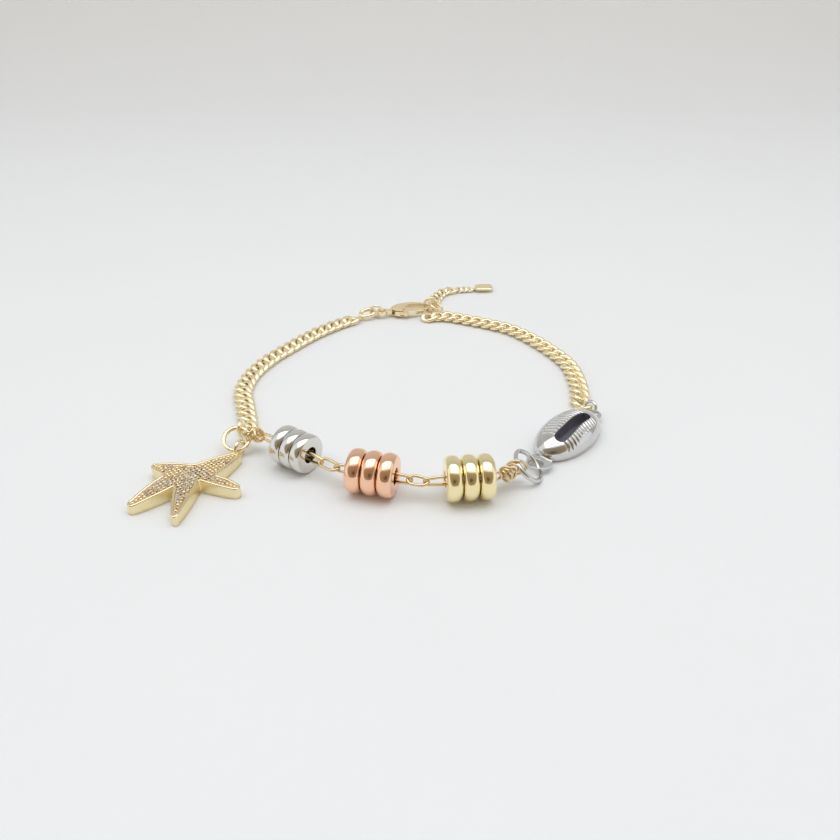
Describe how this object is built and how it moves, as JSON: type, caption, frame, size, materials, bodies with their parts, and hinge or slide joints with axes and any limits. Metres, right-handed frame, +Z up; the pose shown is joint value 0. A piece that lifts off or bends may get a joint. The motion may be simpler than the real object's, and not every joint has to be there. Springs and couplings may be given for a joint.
{
  "type": "bracelet",
  "caption": "Curb chain bracelet with a lobster clasp and extender, rondelles strung in silver, rose and gold, a pave starfish charm and a cowrie shell.",
  "frame": {"origin": "middle of the bracelet's bounding box, on the table it lies on", "axes": "+Z up from the table, -Y towards the bead section, +Y towards the clasp and extender, -X towards the starfish"},
  "size_m": [0.0678, 0.0764, 0.0065],
  "materials": {
    "gold_plated_chain": "gold-plated curb chain and rings, polished",
    "warm_gold_clasp": "warmer gold plate on the clasp and wire links, polished",
    "rose_gold_beads": "rose-gold plate on the middle rondelles, mirror polished",
    "rose_gold_wire": "rose-gold wire of the silver beads, polished",
    "silver_beads": "rhodium-plated rondelles, mirror polished",
    "pale_gold_beads": "pale gold plate on the right rondelles, mirror polished"
  },
  "bodies": {
    "bracelet": {"curb_chain_left": "gold_plated_chain", "curb_chain_right": "gold_plated_chain", "extender_chain": "gold_plated_chain", "extender_fine_chain": "gold_plated_chain", "charm_jump_ring": "gold_plated_chain", "clasp_jump_ring": "gold_plated_chain", "clasp_held_ring": "gold_plated_chain", "chain_link_left_front": "gold_plated_chain", "chain_link_right_front": "gold_plated_chain", "chain_link_left_back": "gold_plated_chain", "chain_link_right_back": "gold_plated_chain", "end_tag": "gold_plated_chain", "starfish_charm": "gold_plated_chain", "gold_bead_wire": "gold_plated_chain", "clasp_body": "warm_gold_clasp", "silver_rose_link": "warm_gold_clasp", "rose_gold_link": "warm_gold_clasp", "rose_bead_wire": "warm_gold_clasp", "silver_bead_wire": "rose_gold_wire", "cowrie_shell": "silver_beads", "shell_front_ring": "silver_beads", "shell_back_ring": "silver_beads", "silver_rondelle_1": "silver_beads", "rose_rondelle_1": "rose_gold_beads", "gold_rondelle_1": "pale_gold_beads", "silver_rondelle_2": "silver_beads", "rose_rondelle_2": "rose_gold_beads", "gold_rondelle_2": "pale_gold_beads", "silver_rondelle_3": "silver_beads", "rose_rondelle_3": "rose_gold_beads", "gold_rondelle_3": "pale_gold_beads"},
    "clasp_lever": {"clasp_lever": "gold_plated_chain"}
  },
  "joints": [
    {"name": "clasp_lever_hinge", "type": "hinge", "parent": "bracelet", "child": "clasp_lever", "pos_m": [0.00121, 0.02422, 0.00108], "axis": [0, 0, 1], "range_deg": [0, 18], "stiffness_Nm_per_rad": 0.00002, "springref_deg": -5.73}
  ]
}
